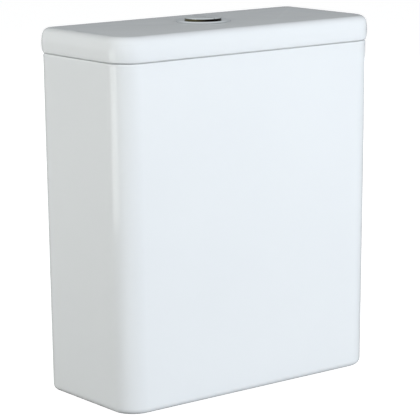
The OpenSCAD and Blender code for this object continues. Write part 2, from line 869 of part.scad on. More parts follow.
module valve_seal() {
  color("firebrick") ring(seat_r + seal_over, tube_r + thread_gap, seal_t, seat_z);
}

// Ring under the seal, with fins that guide it in the throat
module seal_guide() {
  fin_r = throat_r - china_gap;
  ring_r = throat_r - 2 * china_gap;
  tube_foot = seat_z - seal_t;
  half_t = tube_wall / 2;
  color("whitesmoke") {
    ring(ring_r, tube_r + thread_gap, seal_t - thread_gap, tube_foot);
    for (k = [0:3])
      rotate(45 + 90 * k) {
        box([tube_r - tube_wall, -half_t, tube_foot - fin_l], [fin_r, half_t, tube_foot - thread_gap]);
        box([tube_r + weld, -half_t, tube_foot - weld], [ring_r, half_t, tube_foot + weld]);
      }
  }
}

// Full-flush float: a cup open below, slipped on the tube
module full_flush_float() {
  float_r = basket_r - tower_wall - 2 * china_gap + slide_gap;
  low = seat_z + 2 * seal_t + full_float_rise;
  hub_in = tube_r + thread_gap;
  color("lightsteelblue")
    rotate_extrude()
      polygon([
        [hub_in, low], [hub_in + float_wall, low], [hub_in + float_wall, low + full_float_h - float_wall],
        [float_r - float_wall, low + full_float_h - float_wall], [float_r - float_wall, low],
        [float_r, low], [float_r, low + full_float_h], [hub_in, low + full_float_h]
      ]);
}

// Lug and post over a rocker's finger, from height z up
module lifting_post(z) {
  y0 = rod_y - rocker_t / 2;
  y1 = rod_y + rocker_t / 2;
  box([post_x, y0, z], [post_x + post_t, y1, lug_z + post_t]);
  box([finger_l - 2 * nose_r, y0, lug_z], [post_x + weld, y1, lug_z + post_t]);
}

// Collar on the tube, with the post that the full-flush rocker lifts
module lift_collar() {
  collar_z = bridge_z + tower_t;
  collar_r = tube_r + tower_t;
  color("tomato")
    difference() {
      union() {
        translate([0, 0, collar_z]) cylinder(r = collar_r, h = 2 * tower_t);
        rotate(180) lifting_post(collar_z);
        rotate(180)
          box([tube_r + tube_wall / 2, rod_y - rocker_t / 2, collar_z],
              [post_x + weld, rod_y + rocker_t / 2, collar_z + 2 * tower_t]);
      }
      translate([0, 0, collar_z - cut]) cylinder(r = tube_r + thread_gap, h = 2 * tower_t + 2 * cut);
    }
}

// Pull that the half-flush rocker lifts, with its long bar down to the float
module half_flush_pull() {
  color("royalblue") lifting_post(basket_top);
}

// Half-flush float: a box cup open below, clipped on the bar of the pull
module half_flush_float() {
  low = basket_top + half_float_rise;
  high = low + half_float_h;
  x = column_r + china_gap;
  y = rod_y - half_float_d / 2;
  sleeve = thread_gap + float_wall;
  color("lightsteelblue")
    difference() {
      box([x, y, low], [x + half_float_w, y + half_float_d, high]);
      difference() {
        box([x + float_wall, y + float_wall, low - cut],
            [x + half_float_w - float_wall, y + half_float_d - float_wall, high - float_wall]);
        pull_bar(low - 2 * cut, high, sleeve);
      }
      pull_bar(low - cut, high + cut, thread_gap);
    }
}

// Inlet shank: threaded tail, flange on the floor, riser and the float's stop
module fill_shank() {
  groove_z = recess_depth - inlet_nut_h - inlet_groove;
  groove_low = groove_z - inlet_groove;
  neck_r = inlet_r - inlet_groove;
  color("whitesmoke")
    at_inlet()
      difference() {
        union() {
          rotate_extrude()
            polygon([
              [0, -inlet_l], [inlet_r, -inlet_l], [inlet_r, groove_low], [neck_r, groove_low],
              [neck_r, groove_z], [inlet_r, groove_z], [inlet_r, inlet_flange_z + weld],
              [0, inlet_flange_z + weld]
            ]);
          translate([0, 0, inlet_flange_z]) {
            cylinder(r = inlet_flange_r, h = tower_t);
            cylinder(r = riser_r, h = head_z + head_socket_h - inlet_flange_z);
            cylinder(r = inlet_r + tower_t, h = 4 * tower_t, $fn = 6);
          }
          translate([0, 0, float_stop_z - tower_t]) cylinder(r = riser_r + tower_t, h = tower_t);
        }
        translate([0, 0, -inlet_l - cut])
          cylinder(r = inlet_bore_r, h = inlet_l + inlet_flange_z + 2 * cut);
        translate([0, 0, inlet_flange_z]) cylinder(r = riser_r - riser_wall, h = head_z + head_h);
      }
}

module inlet_seal() {
  color("dimgray")
    at_inlet() ring(inlet_flange_r - weld, inlet_r + thread_gap, floor_seal_t, tank_floor);
}

module inlet_backnut() {
  color("whitesmoke")
    at_inlet()
      translate([0, 0, recess_depth - inlet_nut_h])
        difference() {
          union() {
            hexagon(inlet_nut_af, inlet_nut_h);
            translate([0, 0, inlet_nut_h - tower_wall])
              cylinder(r = inlet_nut_af / 2 + tower_wall, h = tower_wall);
          }
          translate([0, 0, -cut]) cylinder(r = inlet_r + thread_gap, h = inlet_nut_h + 2 * cut);
        }
}

// Strainer cup in the mouth of the tail, slotted all round
module inlet_strainer() {
  cup_r = inlet_bore_r - thread_gap;
  cup_h = inlet_l / 2;
  slots = 8;
  slot_w = float_wall / 2;
  color("cornflowerblue")
    at_inlet()
      translate([0, 0, -inlet_l])
        difference() {
          cylinder(r = cup_r, h = cup_h);
          translate([0, 0, -cut]) cylinder(r = cup_r - float_wall / 2, h = cup_h - float_wall + cut);
          for (k = [0:slots / 2 - 1])
            rotate(360 * k / slots)
              box([-inlet_bore_r, -slot_w, tower_t], [inlet_bore_r, slot_w, cup_h - 2 * float_wall]);
        }
}

// Valve head on the riser: socket, chamber, and the side port down to the silencer
module fill_head() {
  port_z = head_z + head_socket_h + silencer_r;
  port_r = silencer_r - float_wall;
  socket_r_out = silencer_r + tower_wall;
  color("whitesmoke")
    at_inlet()
      difference() {
        union() {
          translate([0, 0, head_z]) cylinder(r = head_r, h = head_h);
          translate([0, 0, port_z]) rotate([0, 90, 0]) cylinder(r = port_r, h = silencer_x);
          translate([silencer_x, 0, head_z])
            cylinder(r = socket_r_out, h = port_z + port_r + float_wall - head_z);
        }
        translate([0, 0, head_z - cut])
          cylinder(r = riser_r + thread_gap, h = head_socket_h + thread_gap + cut);
        translate([0, 0, head_z]) cylinder(r = riser_r - riser_wall, h = head_h + cut);
        translate([0, 0, cap_z - diaphragm_t]) cylinder(r = head_r - float_wall, h = diaphragm_t + cut);
        translate([0, 0, port_z]) rotate([0, 90, 0]) cylinder(r = port_r - float_wall, h = silencer_x);
        translate([silencer_x, 0, head_z - cut])
          cylinder(r = silencer_r + thread_gap, h = head_socket_h + thread_gap + cut);
        translate([silencer_x, 0, head_z]) cylinder(r = silencer_r - float_wall, h = port_z - head_z);
      }
}

module fill_diaphragm() {
  color("dimgray")
    at_inlet()
      translate([0, 0, cap_z - diaphragm_t])
        cylinder(r = head_r - float_wall - thread_gap, h = diaphragm_t);
}

// Cap with grip grooves, and the two ears of the lever's pin
module fill_cap() {
  ear_y = lever_w / 2 + press_gap;
  groove_r = float_wall / 2;
  ear_r = lever_pin_r + tower_wall;
  color("cornflowerblue")
    at_inlet()
      difference() {
        union() {
          translate([0, 0, cap_z]) cylinder(r = cap_r, h = cap_h);
          translate([0, 0, cap_z]) cylinder(r = nozzle_r, h = nozzle_top - cap_z);
          for (side = [-1, 1])
            translate([-lever_pin_x, side * (ear_y + tower_wall / 2) + tower_wall / 2, lever_pin_z])
              rotate([90, 0, 0])
                linear_extrude(tower_wall)
                  union() {
                    circle(r = ear_r);
                    polygon([
                      [-ear_r, 0], [ear_r, 0], [ear_r, -lever_pin_h - weld], [-ear_r, -lever_pin_h - weld]
                    ]);
                  }
        }
        for (k = [0:cap_grips - 1])
          rotate(360 * k / cap_grips)
            translate([cap_r, 0, cap_z - cut])
              cylinder(r = groove_r, h = cap_h - float_wall + cut, $fn = 16);
        translate([-lever_pin_x, ear_y + tower_wall + cut, lever_pin_z])
          rotate([90, 0, 0])
            cylinder(r = lever_pin_r + running_gap, h = 2 * (ear_y + tower_wall + cut));
      }
}

// Lever on the cap: hub on the pin, arm to the float's link, and the tail that closes the pilot hole
module fill_lever() {
  tail_x = lever_pin_x + 2 * nozzle_r;
  slot_r = link_r + slide_gap;
  slot_l = slot_r + 2 * slide_gap;
  end_x = -lever_l - slot_l - tower_wall;
  half_t = lever_t / 2;
  color("cornflowerblue")
    at_inlet()
      translate([-lever_pin_x, 0, lever_pin_z])
        rotate([0, -lever_turn / 2, 0])
          difference() {
            translate([0, lever_w / 2, 0])
              rotate([90, 0, 0])
                linear_extrude(lever_w)
                  union() {
                    circle(r = lever_pin_r + tower_wall);
                    polygon([[end_x, -half_t], [tail_x, -half_t], [tail_x, half_t], [end_x, half_t]]);
                  }
            box([-lever_l - slot_l, -slot_r, -lever_t], [-lever_l + slot_l, slot_r, lever_t]);
            translate([0, lever_w, 0])
              rotate([90, 0, 0]) cylinder(r = lever_pin_r + running_gap, h = 2 * lever_w);
          }
}

module lever_pin() {
  half_l = lever_w / 2 + press_gap + tower_wall + thread_gap;
  color("silver")
    at_inlet()
      translate([-lever_pin_x, half_l, lever_pin_z])
        rotate([90, 0, 0]) cylinder(r = lever_pin_r, h = 2 * half_l);
}

// Plan of the fill float, drawn in by a wall
module float_plan(inset) {
  r = fill_float_r - inset;
  hull() {
    translate([-press_gap, 0]) circle(r = r, $fn = 48);
    translate([link_x + fill_float_r / 2, 0]) circle(r = r, $fn = 48);
  }
}

// Fill float: a cup open below, sliding on the riser, with the boss of its link
module fill_float() {
  sleeve_in = riser_r + china_gap;
  boss_r = link_r + tower_wall;
  color("lightsteelblue")
    at_inlet()
      translate([0, 0, float_z])
        difference() {
          linear_extrude(fill_float_h) float_plan(0);
          difference() {
            translate([0, 0, -cut]) linear_extrude(fill_float_h - float_wall + cut) float_plan(float_wall);
            translate([0, 0, -2 * cut]) cylinder(r = sleeve_in + float_wall, h = fill_float_h + 2 * cut);
            translate([link_x, 0, -2 * cut]) cylinder(r = boss_r, h = fill_float_h + 2 * cut);
          }
          translate([0, 0, -cut]) cylinder(r = sleeve_in, h = fill_float_h + 2 * cut);
          translate([link_x, 0, -cut]) cylinder(r = link_r + thread_gap, h = fill_float_h + 2 * cut);
        }
}

// Link from the float to the lever, with a collar under and a nut over the lever
module float_link() {
  collar_r = link_r + tower_wall;
  reach = lever_t / 2 + slide_gap + collar_r * tan(lever_turn / 2);
  color("whitesmoke")
    at_inlet()
      translate([link_x, 0, 0]) {
        translate([0, 0, float_z]) cylinder(r = link_r, h = link_seat_z + 3 * tower_t - float_z);
        translate([0, 0, link_seat_z - reach - tower_wall]) cylinder(r = collar_r, h = tower_wall);
        translate([0, 0, link_seat_z + reach]) cylinder(r = collar_r, h = tower_wall, $fn = 6);
      }
}

module silencer_tube() {
  low = tank_floor + silencer_rise;
  color("whitesmoke")
    at_inlet()
      translate([silencer_x, 0, 0])
        ring(silencer_r, silencer_r - float_wall, head_z + head_socket_h - low, low);
}

// Two hexagon-headed bolts through the floor, with a free thread below the lock nut
module coupling_bolts() {
  color("silver")
    at_bolts() {
      translate([0, 0, bolt_head_z]) hexagon(bolt_af, bolt_head_h);
      translate([0, 0, locknut_z]) cylinder(r = bolt_r, h = bolt_head_z - locknut_z + weld);
      translate([0, 0, -bolt_l]) cylinder(r = stud_r, h = bolt_l + locknut_z + weld);
    }
}

module bolt_seals() {
  color("dimgray")
    at_bolts()
      difference() {
        translate([0, 0, tank_floor]) cylinder(r1 = bolt_seal_r, r2 = washer_r, h = bolt_seal_h);
        translate([0, 0, tank_floor - cut]) cylinder(r = bolt_r + thread_gap, h = bolt_seal_h + 2 * cut);
      }
}

module bolt_washers() {
  color("silver") at_bolts() ring(washer_r, bolt_r + thread_gap, washer_t, tank_floor + bolt_seal_h);
}

module locknut_washers() {
  color("silver") at_bolts() ring(washer_r, bolt_r + thread_gap, washer_t, recess_depth - washer_t);
}

module bolt_locknuts() {
  color("silver")
    at_bolts()
      translate([0, 0, locknut_z])
        difference() {
          hexagon(bolt_af, locknut_h);
          translate([0, 0, -cut]) cylinder(r = bolt_r + thread_gap, h = locknut_h + 2 * cut);
        }
}

tank();
lid();
button_bezel();
button_gasket();
button_nut();
full_flush_button();
half_flush_button();
full_button_spring();
half_button_spring();
full_flush_rod();
half_flush_rod();
valve_base();
floor_seal();
outlet_backnut();
pan_seal();
valve_tower();
actuator_bridge();
rocker_pin();
full_flush_rocker();
half_flush_rocker();
overflow_tube();
valve_seal();
seal_guide();
full_flush_float();
lift_collar();
half_flush_pull();
half_flush_float();
fill_shank();
inlet_seal();
inlet_backnut();
inlet_strainer();
fill_head();
fill_diaphragm();
fill_cap();
fill_lever();
lever_pin();
fill_float();
float_link();
silencer_tube();
coupling_bolts();
bolt_seals();
bolt_washers();
locknut_washers();
bolt_locknuts();
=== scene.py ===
"""Toilet cistern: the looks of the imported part, in metres, in the frame of the solids."""
import json
import math

import bmesh
import bpy
import numpy as np
from mathutils import Matrix, Vector


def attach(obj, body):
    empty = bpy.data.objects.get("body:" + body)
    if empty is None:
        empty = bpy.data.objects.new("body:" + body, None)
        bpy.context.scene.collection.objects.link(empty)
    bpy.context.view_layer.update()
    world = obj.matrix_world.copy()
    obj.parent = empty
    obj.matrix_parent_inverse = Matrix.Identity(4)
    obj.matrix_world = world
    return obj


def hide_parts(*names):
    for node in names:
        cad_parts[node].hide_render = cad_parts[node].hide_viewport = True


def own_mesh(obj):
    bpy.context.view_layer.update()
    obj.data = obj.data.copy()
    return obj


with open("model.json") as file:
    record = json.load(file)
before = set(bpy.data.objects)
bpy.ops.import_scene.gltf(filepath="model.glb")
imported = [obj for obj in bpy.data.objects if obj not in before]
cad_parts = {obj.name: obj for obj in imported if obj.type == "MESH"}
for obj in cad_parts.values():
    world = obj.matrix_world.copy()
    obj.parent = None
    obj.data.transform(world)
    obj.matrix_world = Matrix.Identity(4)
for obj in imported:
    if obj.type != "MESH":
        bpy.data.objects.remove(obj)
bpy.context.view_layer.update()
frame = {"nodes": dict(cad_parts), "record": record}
nodes = frame["nodes"]
slot_of = {part["node"]: part["material_slot"] for part in frame["record"]["subparts"]}

# Sizes of the china in millimetres, as in the solids
MM = 0.001
TANK_W, TANK_D, TANK_H, BACK_Y, SHIFT = 356, 157, 381.5, 78, 9
WALL, FLOOR, TAPER, FRONT_R, REAR_R = 10, 16, 3.4, 28, 16
BASE_EDGE_R, RIM_EDGE_R, FILLET_R, RECESS, LAND = 7, 2.5, 13.95, 4, 16
LID_H, OVERHANG, LID_WALL, LID_TOP_R, LID_LOW_R, SWELL = 28, 2, 9, 9, 3, 0.8
LIP_DEPTH, LIP_WALL, LIP_GAP, LIP_EASE = 8, 7, 3, 0.25
LEAST_R = 2

# Holes in the china, and the drills that make them
OUTLET_HOLE_R, BOLT_X, BOLT_HOLE_R, INLET_X, INLET_HOLE_R = 31.3, 74.96, 5.5, 118.6, 11.98
FIXING_X, FIXING_Z, FIXING_HOLE_R = 100, 345.5, 4.5
BUTTON_HOLE_R, BUTTON_HOLE_Z = 25.5, 390
UPRIGHT, LEVEL = (0, 0, 1), (0, 1, 0)
LONG_DRILL, SHORT_DRILL, ROD_DRILL = 80, 60, 12

# Chrome push button: bezel with its barrel, two half-round buttons and their springs
BEZEL_R, BEZEL_H, BARREL_IN, CATCH_R, BARREL_R = 30.5, 2.2, 21.0, 21.8, 24.0
CATCH_GAP, MOUTH_EASE, MOUTH_STEP = 0.3, 0.6, 0.2
SHELF_LOW, SHELF_TOP = 367.5, 370.5
BUTTON_R, BUTTON_TOP, BUTTON_H, EDGE_R, SKIRT, CROWN = 20.5, 414.7, 14.0, 1.2, 1.6, 2.4
FOOT_R, FOOT_H, SPLIT, AXIS_R = 21.3, 2.0, 0.3, 0.4
ROD_X, ROD_Y, ROD_HOLE = 9.5, 5.5, 3.7
SPRING_LOW, SPRING_HIGH, SPRING_R, WIRE_R, TURNS = 371.3, 411.5, 6.3, 0.5, 9

# Colours painted by place: painted shade as a grey line along the joint, and a painted dark reflection on the
# buttons' skirt
JOINT, JOINT_SHADE_GREY, JOINT_FLAT = 0.9, 0.68, (0.02, 0.08)
REFLECTION_TOP, REFLECTION_ACROSS, REFLECTION_DEEP, REFLECTION_SPAN = (413.2, 413.7), 0.788, -0.616, (-9, 7)

# Points on each kind of curve, and the angle from which an edge stays sharp
CORNER_POINTS, FLAT_POINTS, EDGE_POINTS = 25, 15, 11
ROUND_POINTS, DRILL_POINTS, TURN_POINTS, WIRE_POINTS = 128, 64, 40, 12
CROWN_POINTS, ARC_POINTS, CHORD_POINTS = 8, 65, 17
SHARP_ANGLE = math.radians(38)


class Val:
    """A shader socket that takes part in Python sums, one maths node per sign."""

    def __init__(self, tree, socket=None):
        self.tree, self.socket = tree, socket

    def feed(self, target, value):
        """Links a socket to an input, or sets the input to a plain value or an opaque colour."""
        if isinstance(value, Val):
            self.tree.links.new(value.socket, target)
        else:
            target.default_value = (*value, 1) if target.type == "RGBA" else value

    def node(self, kind, out=0, settings=None, sockets=None):
        """Adds a node with its settings and the values or links of its sockets, and gives one output."""
        made = self.tree.nodes.new(kind)
        for key, value in (settings or {}).items():
            setattr(made, key, value)
        for key, value in (sockets or {}).items():
            self.feed(made.inputs[key], value)
        return Val(self.tree, made.outputs[out])

    def sign(self, operation, a, b):
        """Maths node on two values, either of which may be a plain number."""
        return self.node("ShaderNodeMath", 0, {"operation": operation}, {0: a, 1: b})

    def __add__(self, other):
        return self.sign("ADD", self, other)

    def __sub__(self, other):
        return self.sign("SUBTRACT", self, other)

    def __rsub__(self, other):
        return self.sign("SUBTRACT", other, self)

    def __mul__(self, other):
        return self.sign("MULTIPLY", self, other)

    def __abs__(self):
        return self.sign("ABSOLUTE", self, 0.0)

    __radd__, __rmul__ = __add__, __mul__

    def along(self, axis):
        """One part of this vector: 0 is across, 1 is deep and 2 is up."""
        return self.node("ShaderNodeSeparateXYZ", axis, None, {"Vector": self})

    def noise(self, scale, detail=2.0):
        """Noise from 0 to 1 on this vector, with its scale in features per metre."""
        return self.node("ShaderNodeTexNoise", 0, None, {"Vector": self, "Scale": scale, "Detail": detail})

    def smooth(self, low, high, first=0.0, last=1.0):
        """Smooth change from first to last as this value goes from low to high."""
        return self.node(
            "ShaderNodeMapRange", 0, {"interpolation_type": "SMOOTHSTEP"},
            {"Value": self, "From Min": low, "From Max": high, "To Min": first, "To Max": last})

    def step(self, low, high):
        """Smooth step from 0 to 1 as this length goes from low to high, in millimetres."""
        return self.smooth(low * MM, high * MM)

    def ramp(self, low, high):
        """Colour between two colours, by this value from 0 to 1."""
        return self.node("ShaderNodeMix", 2, {"data_type": "RGBA"}, {0: self, 6: low, 7: high})

    def over(self, colour):
        """Colour times this value."""
        return self.node("ShaderNodeVectorMath", 0, {"operation": "SCALE"}, {"Vector": colour, "Scale": self})

    def bump(self, distance, strength):
        """Normal bent by this height."""
        return self.node(
            "ShaderNodeBump", 0, None, {"Height": self, "Distance": distance, "Strength": strength})


def material(name, build):
    """Makes a material whose Principled inputs come from build(object coordinates)."""
    made = bpy.data.materials.new(name)
    made.use_nodes = True
    place = Val(made.node_tree).node("ShaderNodeTexCoord", "Object")
    for key, value in build(place).items():
        place.feed(made.node_tree.nodes["Principled BSDF"].inputs[key], value)
    return made


def shade(colour, factor):
    """The colour, made darker by a factor."""
    return tuple(factor * c for c in colour)


def china(place):
    """Glazed china with painted shade: greyer in the two curves that meet at the joint, but not on the flats
    between them.
    """
    off_joint = abs(place.along(2) - TANK_H * MM)
    # Painted shade: the glaze is greyed in the joint's curves to stand in for the shadow in the gap between
    # tank and lid
    curves = off_joint.step(*JOINT_FLAT) * (1 - off_joint.step(JOINT / 2, JOINT))
    joint_shading = 1 - (1 - JOINT_SHADE_GREY) * curves
    wave = place.noise(14.0, 1.0) + 0.25 * place.noise(90.0)
    return {
        "Base Color": joint_shading.over(place.noise(9.0).ramp((0.82, 0.83, 0.84), (0.85, 0.86, 0.865))),
        "Roughness": 0.07 + 0.05 * place.noise(40.0),
        "Normal": wave.bump(0.0006, 0.25),
        "IOR": 1.52,
        "Coat Weight": 0.1,
        "Coat Roughness": 0.03,
    }


def chrome(place):
    """Polished chrome with faint clouds in its gloss."""
    return {
        "Base Color": place.noise(60.0).ramp((0.90, 0.92, 0.92), (0.94, 0.95, 0.95)),
        "Metallic": 1.0,
        "Roughness": 0.05 + 0.05 * place.noise(220.0),
    }


def button_chrome(place):
    """Chrome with a painted dark reflection on the skirt: dark just below the rounded top edge, and browner
    towards the left.
    """
    leftmost, rightmost, top = (0.16, 0.14, 0.075), (0.012, 0.009, 0.007), (0.97, 0.985, 0.98)
    # Painted reflection: the skirt's dark, brownish colour stands in for a dark room seen in the chrome
    to_right = REFLECTION_ACROSS * place.along(0) + REFLECTION_DEEP * place.along(1)
    dark_reflection = to_right.step(*REFLECTION_SPAN).ramp(leftmost, rightmost)
    return {
        "Base Color": place.along(2).step(*REFLECTION_TOP).ramp(dark_reflection, top),
        "Metallic": 1.0,
        "Roughness": 0.06 + 0.05 * place.noise(220.0),
    }


def plastic(colour, roughness):
    """Moulded plastic with a fine grain."""
    def build(place):
        return {
            "Base Color": place.noise(35.0).ramp(shade(colour, 0.94), colour),
            "Roughness": roughness + 0.12 * place.noise(160.0, 3.0),
            "Normal": place.noise(900.0).bump(0.0001, 0.3),
            "IOR": 1.49,
        }
    return build


def rubber(colour):
    """Dull rubber or silicone with a rough skin."""
    def build(place):
        return {
            "Base Color": place.noise(120.0, 4.0).ramp(shade(colour, 0.8), colour),
            "Roughness": 0.55 + 0.2 * place.noise(300.0, 3.0),
            "Normal": place.noise(1500.0).bump(0.0001, 0.4),
        }
    return build


def zinc(place):
    """Zinc plate with the small crystals of its coating."""
    crystal = place.node("ShaderNodeTexVoronoi", 0, None, {"Vector": place, "Scale": 420.0})
    return {
        "Base Color": crystal.ramp((0.60, 0.60, 0.58), (0.74, 0.74, 0.71)),
        "Metallic": 1.0,
        "Roughness": 0.28 + 0.15 * place.noise(260.0, 3.0),
    }


finish = {
    "china": material("glazed_china", china),
    "chrome": material("polished_chrome", chrome),
    "white_plastic": material("white_moulding", plastic((0.84, 0.84, 0.81), 0.25)),
    "float_plastic": material("grey_moulding", plastic((0.55, 0.61, 0.67), 0.4)),
    "blue_plastic": material("blue_moulding", plastic((0.06, 0.20, 0.55), 0.25)),
    "red_plastic": material("red_moulding", plastic((0.60, 0.06, 0.05), 0.25)),
    "black_rubber": material("black_rubber_skin", rubber((0.03, 0.03, 0.03))),
    "red_silicone": material("red_silicone_skin", rubber((0.45, 0.05, 0.04))),
    "zinc_steel": material("zinc_plate", zinc),
}
for name, thing in nodes.items():
    thing.data.materials.clear()
    thing.data.materials.append(finish[slot_of[name]])

# Shares of a quarter circle, and shares of a flat that close up towards its ends
quarter = np.linspace(0, np.pi / 2, EDGE_POINTS)
rise, fall = 1 - np.cos(quarter), 1 - np.sin(quarter)
climb = (1 - np.cos(np.pi * np.linspace(0, 1, FLAT_POINTS + 2)[1:-1])) / 2


def outline(z, side, back):
    """Plan of the china at heights z, one row each: four flats and four quarter circles joined
    end to end, drawn in by side and back; points on a flat close up towards its ends."""
    lean = TAPER * np.clip(1 - z / TANK_H, 0, None)
    x = (TANK_W / 2 - lean - side)[:, None]
    y0 = (BACK_Y - TANK_D + lean + side)[:, None]
    y1 = (BACK_Y - back)[:, None]
    rf = np.maximum(FRONT_R - side, LEAST_R)[:, None]
    rb = np.maximum(REAR_R - back, LEAST_R)[:, None]
    turn = np.linspace(0, np.pi / 2, CORNER_POINTS)
    corners = ((1, y0 + rf, rf, -1), (1, y1 - rb, rb, 0), (-1, y1 - rb, rb, 1), (-1, y0 + rf, rf, 2))
    arcs = []
    for sign, y, r, start in corners:
        angle = turn + start * np.pi / 2
        arcs.append(np.stack([SHIFT + sign * (x - r) + r * np.cos(angle), y + r * np.sin(angle)], -1))
    runs = []
    for arc, following in zip(arcs, arcs[1:] + arcs[:1]):
        runs += [arc, arc[:, -1:] + (following[:, :1] - arc[:, -1:]) * climb[None, :, None]]
    plan = np.concatenate(runs, 1)
    return np.concatenate([plan, np.broadcast_to(z[:, None, None], plan.shape[:2] + (1,))], 2)


def grid_mesh(name, points, flip=False):
    """Mesh over a grid of points whose rows are closed loops, with one face across each end."""
    rows, n = points.shape[:2]
    low = np.arange(rows - 1)[:, None] * n + np.arange(n)
    step = np.arange(rows - 1)[:, None] * n + (np.arange(n) + 1) % n
    faces = np.stack([low, step, step + n, low + n], -1).reshape(-1, 4).tolist()
    faces += [list(range(n - 1, -1, -1)), list(range((rows - 1) * n, rows * n))]
    if flip:
        faces = [face[::-1] for face in faces]
    mesh = bpy.data.meshes.new(name)
    mesh.from_pydata(points.reshape(-1, 3) * MM, [], faces)
    mesh.update()
    return mesh


def add_piece(name, mesh, body, node, look=None):
    """Puts a smooth mesh in the scene in place of a CAD node, on its body and in its finish or look."""
    mesh.polygons.foreach_set("use_smooth", np.ones(len(mesh.polygons), bool))
    mesh.set_sharp_from_angle(angle=SHARP_ANGLE)
    mesh.materials.clear()
    mesh.materials.append(look or finish[slot_of[node]])
    piece = bpy.data.objects.new(name, mesh)
    bpy.context.scene.collection.objects.link(piece)
    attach(piece, body)
    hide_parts(node)
    return piece


def drilled(mesh, holes):
    """The mesh less round holes, each given by its middle, direction, radius and length in millimetres."""
    body = bpy.data.objects.new("blank", mesh)
    bpy.context.scene.collection.objects.link(body)
    drills = []
    for middle, direction, radius, length in holes:
        solid = bmesh.new()
        bmesh.ops.create_cone(solid, cap_ends=True, segments=DRILL_POINTS,
                              radius1=radius * MM, radius2=radius * MM, depth=length * MM)
        turned = Vector(direction).to_track_quat("Z", "Y").to_matrix().to_4x4()
        solid.transform(Matrix.Translation(Vector(middle) * MM) @ turned)
        data = bpy.data.meshes.new("drill")
        solid.to_mesh(data)
        solid.free()
        drill = bpy.data.objects.new("drill", data)
        bpy.context.scene.collection.objects.link(drill)
        drills.append(drill)
        cutter = body.modifiers.new("cut", "BOOLEAN")
        cutter.operation, cutter.solver, cutter.object = "DIFFERENCE", "EXACT", drill
    bpy.context.view_layer.update()
    result = bpy.data.meshes.new_from_object(body.evaluated_get(bpy.context.evaluated_depsgraph_get()))
    for thing in [body] + drills:
        bpy.data.objects.remove(thing)
    return result


# Tank: heights and insets of its rings, from the recess below, up the outside and down to the floor
tank_z = np.concatenate([
    [RECESS, 0], BASE_EDGE_R * rise, BASE_EDGE_R + (TANK_H - RIM_EDGE_R - BASE_EDGE_R) * climb,
    TANK_H - RIM_EDGE_R * fall, TANK_H - RIM_EDGE_R * rise[1:],
    TANK_H - RIM_EDGE_R - (TANK_H - RIM_EDGE_R - FLOOR - FILLET_R) * climb, FLOOR + FILLET_R * fall])
tank_in = np.concatenate([
    [LAND, LAND - RECESS / 2], BASE_EDGE_R * fall, 0 * climb,
    RIM_EDGE_R * rise, WALL - RIM_EDGE_R * fall[1:], WALL + 0 * climb, WALL + FILLET_R * rise])
floor_holes = ((0, OUTLET_HOLE_R), (-BOLT_X, BOLT_HOLE_R), (BOLT_X, BOLT_HOLE_R), (INLET_X, INLET_HOLE_R))
tank_holes = [((x, 0, 0), UPRIGHT, radius, LONG_DRILL) for x, radius in floor_holes]
for x in (-FIXING_X, FIXING_X):
    tank_holes.append(((SHIFT + x, BACK_Y, FIXING_Z), LEVEL, FIXING_HOLE_R, SHORT_DRILL))
tank_mesh = drilled(grid_mesh("china_tank", outline(tank_z, tank_in, tank_in)), tank_holes)
add_piece("china_tank", tank_mesh, "cistern", "tank")

# Lid: heights and insets of its rings, from the hollow, round the lip and up the outside to the top
lid_top = TANK_H + LID_H
lip_out = WALL + LIP_GAP
lip_in = lip_out + LIP_WALL
side_h = LID_H - LID_LOW_R - LID_TOP_R
lip_z = [TANK_H - LIP_DEPTH, TANK_H - LIP_DEPTH, TANK_H - (1 - LIP_EASE) * LIP_DEPTH, TANK_H]
lid_z = np.concatenate([
    lid_top - LID_WALL - LIP_WALL * rise, lip_z,
    TANK_H + LID_LOW_R * rise, TANK_H + LID_LOW_R + side_h * climb, lid_top - LID_TOP_R * fall])
lid_in = np.concatenate([
    lip_in + LIP_WALL * fall, [lip_in, lip_out + LIP_EASE * LIP_WALL, lip_out, lip_out],
    SWELL + LID_LOW_R * fall, SWELL * (2 * climb - 1) ** 2, SWELL + LID_TOP_R * rise])
inside_rows, outside_rows = EDGE_POINTS + len(lip_z), 2 * EDGE_POINTS + FLAT_POINTS
outside = np.concatenate([np.zeros(inside_rows), np.full(outside_rows, OVERHANG)])
lid_mesh = grid_mesh("china_lid", outline(lid_z, lid_in - outside, lid_in))
button_hole = ((0, 0, BUTTON_HOLE_Z), UPRIGHT, BUTTON_HOLE_R, LONG_DRILL)
add_piece("china_lid", drilled(lid_mesh, [button_hole]), "lid", "lid")


def lathe(name, profile):
    """Profile of radii and heights, turned once round the upright axis."""
    r, z = (np.array(row, float)[:, None] for row in zip(*profile))
    a = np.linspace(0, 2 * np.pi, ROUND_POINTS, endpoint=False)[None, :]
    return grid_mesh(name, np.stack([r * np.cos(a), r * np.sin(a), z + 0 * a], -1), True)


def half_button(name, turn):
    """Shell over half a disc: each row is the arc of one radius, closed by a chord along the split."""
    arc_r, arc_z = BUTTON_R - EDGE_R * fall, BUTTON_TOP - EDGE_R * rise
    inner_r, inner_z, inner_flat = BUTTON_R - SKIRT, BUTTON_TOP - CROWN, SPLIT + SKIRT
    flat_r = np.linspace(SPLIT + AXIS_R, BUTTON_R - EDGE_R - AXIS_R, CROWN_POINTS)
    r = np.concatenate([flat_r, arc_r, [BUTTON_R, FOOT_R, FOOT_R, inner_r, inner_r, inner_flat + AXIS_R]])
    z = np.concatenate([0 * flat_r + BUTTON_TOP, arc_z,
                        [foot_z + FOOT_H, foot_z + FOOT_H, foot_z, foot_z, inner_z, inner_z]])
    flat = np.full(len(r), SPLIT)
    flat[-3:] = inner_flat
    reach = np.arccos(flat / r)[:, None]
    share = np.linspace(-1, 1, ARC_POINTS)[None, :]
    x, y = r[:, None] * np.cos(reach * share), r[:, None] * np.sin(reach * share)
    chord = y[:, -1:] * np.linspace(1, -1, CHORD_POINTS)[None, 1:-1]
    x = np.concatenate([x, flat[:, None] + 0 * chord], 1) * turn
    y = np.concatenate([y, chord], 1) * turn
    return grid_mesh(name, np.stack([x, y, z[:, None] + 0 * x], -1), True)


